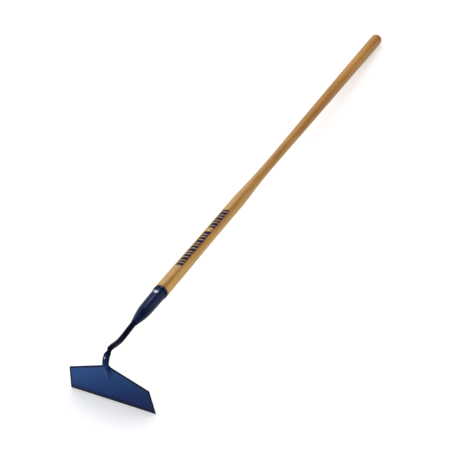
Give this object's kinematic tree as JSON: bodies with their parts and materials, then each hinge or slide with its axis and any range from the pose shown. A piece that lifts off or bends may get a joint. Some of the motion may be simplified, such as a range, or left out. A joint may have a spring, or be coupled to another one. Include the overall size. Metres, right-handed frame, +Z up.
{
  "type": "grub hoe",
  "caption": "Long-handled grub hoe: broad flat blade with sloping shoulders on a curved goose neck, and a waisted wooden handle riveted in a tapered steel socket.",
  "frame": {"origin": "on the ground, under the middle of the tool's length, in its plane of symmetry", "axes": "+Z up; +Y level, from the blade towards the handle's end; +X across the blade. The tool lies as it is put down: the cutting edge and the handle's end both touch Z = 0"},
  "size_m": [0.2322, 1.7032, 0.1856],
  "materials": {
    "blade_paint": "deep blue sprayed enamel with a satin gloss, thin and worn along the ground edge",
    "neck_paint": "near-black navy dipped enamel, glossy",
    "lacquered_ash": "straight-grained ash under clear lacquer, semi-gloss",
    "rivet_steel": "bright peened steel"
  },
  "bodies": {
    "root": {"blade": "blade_paint", "goose_neck": "neck_paint", "socket": "neck_paint", "handle": "lacquered_ash", "rivet": "rivet_steel"}
  },
  "joints": []
}
